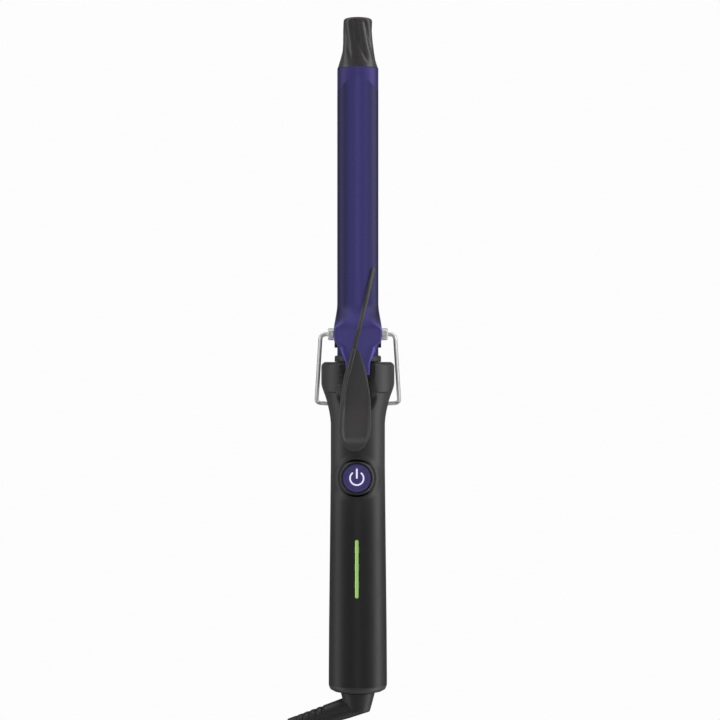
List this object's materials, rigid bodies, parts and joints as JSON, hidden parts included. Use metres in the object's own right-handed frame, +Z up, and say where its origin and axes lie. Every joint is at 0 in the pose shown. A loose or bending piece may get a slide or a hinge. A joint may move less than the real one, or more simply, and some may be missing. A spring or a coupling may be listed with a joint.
{
  "type": "curling iron",
  "caption": "Slim hair curling iron with a heated violet barrel, sprung clamp with thumb lever, cool tip, folding wire stand, lit power button, and a mains cord on a swivel.",
  "frame": {"origin": "centre of the floor under the iron, which lies on its back on its handle end and its folded stand; the cord, hank and plug are left out of the box that the origin is the bottom centre of", "axes": "+Y runs along the barrel from the cord end to the cool tip, +Z is up and is the thumb lever side, +X is to the right seen from above with the tip away; the barrel rises 1.2 degrees towards the tip"},
  "size_m": [0.0781, 0.4897, 0.0472],
  "materials": {
    "handle_plastic": "satin black moulded plastic, very fine grain",
    "trim_plastic": "dark grey satin plastic",
    "heat_plastic": "heat-resistant black plastic, satin",
    "barrel_coat": "metallic violet ceramic coating, satin",
    "clamp_coat": "metallic violet coating, a little darker, satin",
    "lever_plastic": "satin black heat-resistant plastic",
    "bright_steel": "bright chromed steel",
    "black_steel": "black coated steel",
    "plain_steel": "plain zinc plated steel",
    "heater_alloy": "extruded aluminium",
    "heater_ceramic": "grey heater ceramic",
    "heater_film": "amber insulating film",
    "wire_cover": "red silicone covered wire",
    "board": "green circuit board",
    "board_components": "dark moulded components",
    "light_source": "white light emitter",
    "light_lens": "glowing green translucent plastic",
    "button_violet": "violet plastic, satin face and bevelled edge",
    "button_mark": "pale lilac lit plastic",
    "contact_metal": "brass",
    "soft_black": "black flexible moulding, satin",
    "cord_cover": "black cord cover, satin",
    "tie_fabric": "black woven strap",
    "plug_plastic": "black moulded plug"
  },
  "bodies": {
    "handle": {"handle_front_shell": "handle_plastic", "handle_back_shell": "handle_plastic", "end_cap": "trim_plastic", "shell_screws": "plain_steel", "base_ring": "heat_plastic", "barrel_bush": "heat_plastic", "barrel": "barrel_coat", "cool_tip": "heat_plastic", "tip_plug": "heater_alloy", "tip_screw": "plain_steel", "heater_bars": "heater_alloy", "heater_stones": "heater_ceramic", "heater_insulation": "heater_film", "heater_leads": "wire_cover", "thermal_fuse": "plain_steel", "pivot_bracket": "black_steel", "pivot_pin": "plain_steel", "pivot_cap_left": "bright_steel", "pivot_cap_right": "bright_steel", "button_bezel": "trim_plastic", "light_bar": "light_lens", "circuit_board": "board", "board_parts": "board_components", "button_switch": "board_components", "light_emitters": "light_source", "board_screws": "plain_steel", "contact_brushes": "contact_metal"},
    "clamp": {"clamp_plate": "clamp_coat", "thumb_lever": "lever_plastic", "lever_rivets": "plain_steel", "clamp_spring": "plain_steel"},
    "stand": {"stand_wire": "bright_steel"},
    "power_button": {"button_cap": "button_violet", "button_symbol": "button_mark", "button_spring": "plain_steel"},
    "swivel": {"swivel_elbow": "soft_black", "swivel_clip": "plain_steel", "contact_rings": "contact_metal", "strain_relief": "soft_black", "cord_tube": "cord_cover", "cord_hank": "cord_cover", "cord_tail": "cord_cover", "hank_tie": "tie_fabric", "plug_body": "plug_plastic", "plug_pins": "bright_steel"}
  },
  "joints": [
    {"name": "clamp_hinge", "type": "hinge", "parent": "handle", "child": "clamp", "pos_m": [0, 0.01523, 0.02936], "axis": [1, 0, 0], "range_deg": [0, 13.5], "stiffness_Nm_per_rad": 0.25, "springref_deg": -20.05, "deforming": ["clamp_spring"]},
    {"name": "stand_hinge", "type": "hinge", "parent": "handle", "child": "stand", "pos_m": [0, 0.01523, 0.02936], "axis": [1, 0, 0], "range_deg": [0, 60]},
    {"name": "button_press", "type": "slide", "parent": "handle", "child": "power_button", "axis": [0, 0.0209, -0.9998], "range_m": [0, 0.0008], "stiffness_N_per_m": 1500, "springref_m": -0.0003, "deforming": ["button_spring"]},
    {"name": "cord_swivel", "type": "hinge", "parent": "handle", "child": "swivel", "pos_m": [0, -0.14927, 0.01341], "axis": [0, 0.9998, 0.0209], "continuous": true}
  ]
}
